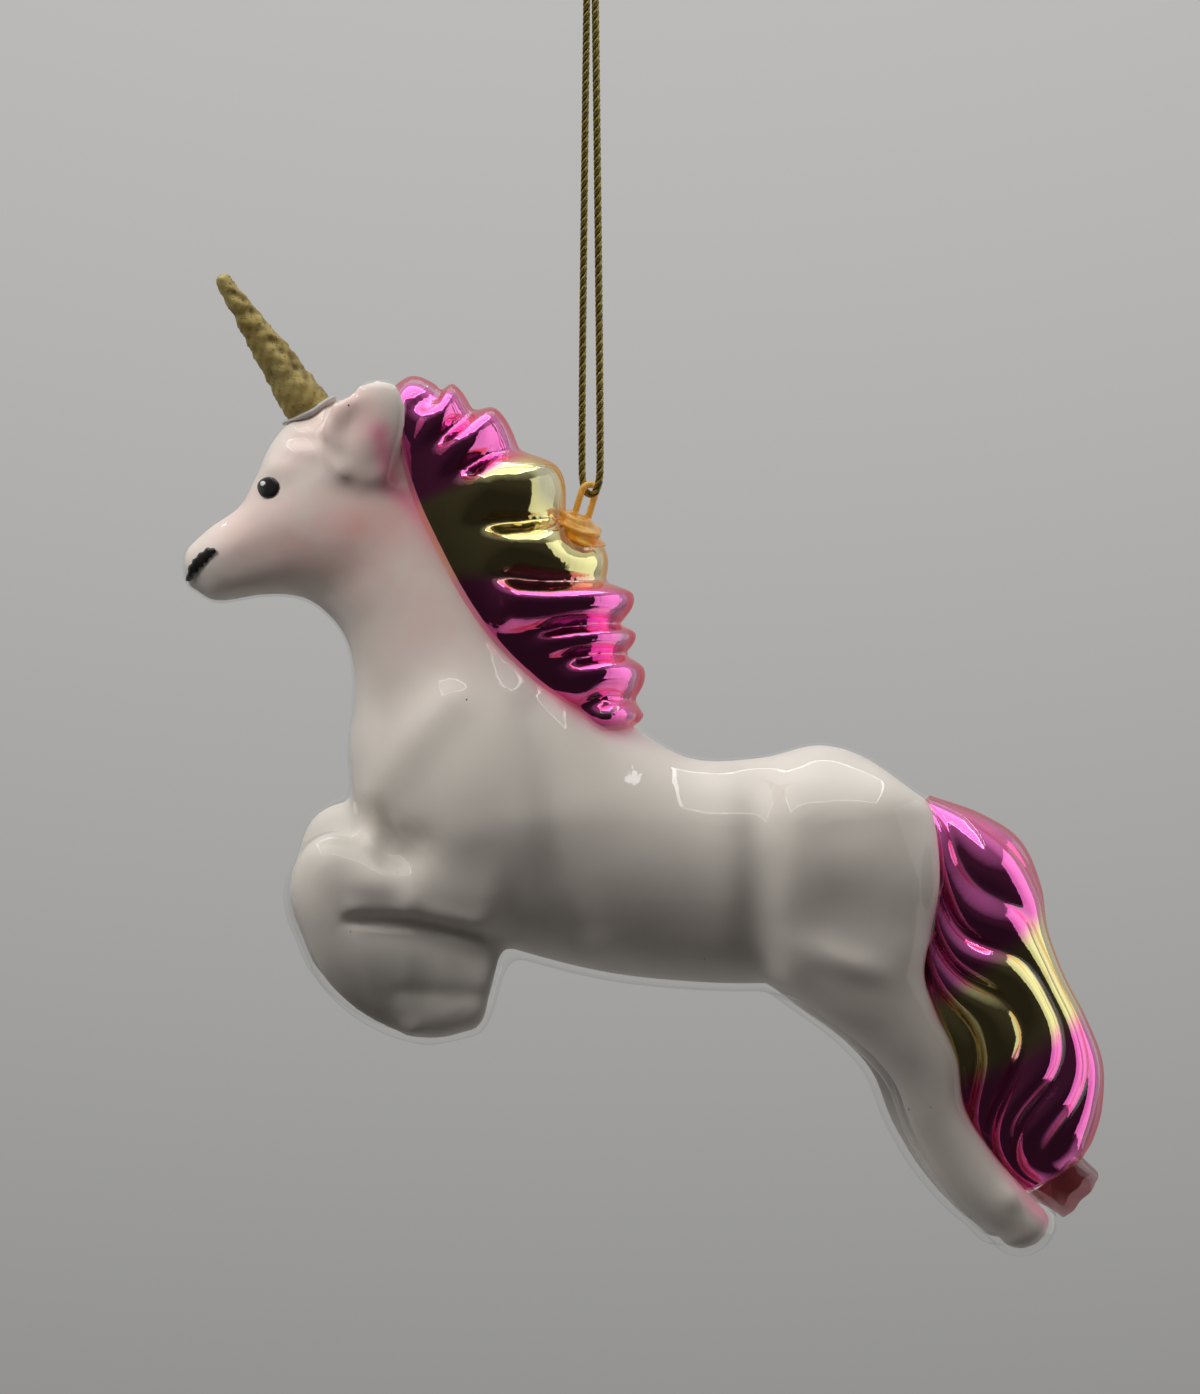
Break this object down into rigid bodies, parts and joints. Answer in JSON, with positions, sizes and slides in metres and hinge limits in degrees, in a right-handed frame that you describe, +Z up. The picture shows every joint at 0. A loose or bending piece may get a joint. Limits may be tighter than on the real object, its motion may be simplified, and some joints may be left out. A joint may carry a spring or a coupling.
{
  "type": "hanging unicorn ornament",
  "caption": "Hollow blown-glass unicorn that hangs from a knotted cord through a glass eyelet, with a silvered mane and tail, a glued gold horn and enamelled eyes.",
  "frame": {"origin": "centre of the knot's flat underside, where the closed loop of cord hangs from its hook", "axes": "+Z up along the taut cord, -X towards the nose, Y across the figure with its left side at -Y"},
  "size_m": [0.1238, 0.0306, 0.1833],
  "materials": {
    "enamelled_glass": "gloss",
    "silvered_glass": "polished",
    "stub_glass": "polished",
    "gilt_horn": "satin",
    "glue": "satin",
    "black_enamel": "gloss",
    "white_enamel": "gloss",
    "amber_glass": "polished",
    "gold_cord": "satin"
  },
  "bodies": {
    "hanger": {"cord_knot": "gold_cord"},
    "cord_loop": {"hanging_cord": "gold_cord"},
    "ornament": {"body_shell": "enamelled_glass", "mane_shell": "silvered_glass", "tail_shell": "silvered_glass", "blowpipe_stub": "stub_glass", "horn": "gilt_horn", "horn_glue": "glue", "left_eye": "black_enamel", "right_eye": "black_enamel", "left_eye_glint": "white_enamel", "right_eye_glint": "white_enamel", "left_nostril": "black_enamel", "right_nostril": "black_enamel", "hanging_eyelet": "amber_glass", "eyelet_gob": "amber_glass"}
  },
  "joints": [
    {"name": "cord_turn", "type": "hinge", "parent": "hanger", "child": "cord_loop", "pos_m": [0, 0, 0], "axis": [0, 0, 1], "range_deg": [-180, 180]},
    {"name": "figure_swing", "type": "hinge", "parent": "cord_loop", "child": "ornament", "pos_m": [0, 0, -0.0695], "axis": [0.7071, 0.7071, 0], "range_deg": [-30, 40]}
  ]
}
